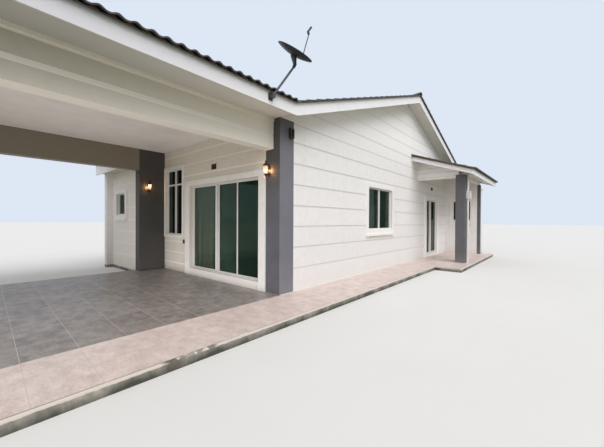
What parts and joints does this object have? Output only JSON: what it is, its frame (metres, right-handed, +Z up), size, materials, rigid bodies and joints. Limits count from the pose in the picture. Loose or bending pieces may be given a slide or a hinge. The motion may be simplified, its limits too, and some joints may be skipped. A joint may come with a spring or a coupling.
{
  "type": "bungalow",
  "caption": "White single-storey bungalow with a gabled front porch, a lean-to side porch, tiled gable roofs and sliding glass doors.",
  "frame": {"origin": "foot of the corner column's outer corner, on the ground under the slab", "axes": "+X out through the side wall into the garden, +Y from the front wall to the back, +Z up"},
  "size_m": [9.1, 19, 5.8796],
  "materials": {
    "render_white": "painted cement render, scored with wide level grooves",
    "board_white": "painted fibre-cement and timber boards",
    "column_grey": "rough dark grey painted render",
    "roof_tile": "dark brown glazed roll tiles, weathered",
    "floor_tile": "square ceramic floor tiles on a concrete slab, weathered kerb",
    "frame_white": "white extruded window and door frames",
    "dark_glass": "clear glass with a dark room behind",
    "lamp_metal": "black painted cast lantern frames",
    "dish_grey": "dark grey painted steel, matt",
    "pipe_white": "white drain pipe",
    "fitting_dark": "dark moulded covers",
    "lamp_glow": "frosted lantern glass, lit warm from inside",
    "kerb_grey": "cement kerbs, painted and weathered"
  },
  "bodies": {
    "root": {"ground_slab": "floor_tile", "front_wall_left": "render_white", "front_wall_lintel": "render_white", "front_wall_right": "render_white", "corner_column": "column_grey", "porch_pier": "column_grey", "side_wall_front": "render_white", "side_wall_lintel": "render_white", "side_wall_back": "render_white", "side_gable_wall": "render_white", "party_wall": "render_white", "back_wall": "render_white", "left_block_wall": "render_white", "house_ceiling": "board_white", "porch_beams": "render_white", "porch_front_columns": "column_grey", "porch_ceiling": "board_white", "porch_gable_wall": "render_white", "main_roof": "roof_tile", "porch_roof": "roof_tile", "ridge_caps": "roof_tile", "main_eave_boards": "board_white", "porch_eave_boards": "board_white", "block_eave_boards": "board_white", "side_porch_roof": "roof_tile", "side_porch_boards": "board_white", "side_porch_beams": "render_white", "side_porch_column": "column_grey", "wing_front_wall": "render_white", "wing_corner_column": "column_grey", "wing_rear_walls": "render_white", "wing_roof": "render_white", "opening_bands": "render_white", "door_kerbs": "kerb_grey", "window_frames": "frame_white", "fixed_glass": "dark_glass", "door_frames": "frame_white", "fixed_lights": "frame_white", "wall_lamps": "lamp_metal", "lamp_glass": "lamp_glow", "satellite_dish": "dish_grey", "downpipe": "pipe_white", "wall_fittings": "fitting_dark"},
    "front_leaf": {"front_leaf_frame": "frame_white", "front_leaf_glass": "dark_glass"},
    "side_leaf": {"side_leaf_frame": "frame_white", "side_leaf_glass": "dark_glass"}
  },
  "joints": [
    {"name": "front_leaf_slide", "type": "slide", "parent": "root", "child": "front_leaf", "axis": [1, 0, 0], "range_m": [0, 1.05]},
    {"name": "side_leaf_slide", "type": "slide", "parent": "root", "child": "side_leaf", "axis": [0, -1, 0], "range_m": [0, 0.585]}
  ]
}
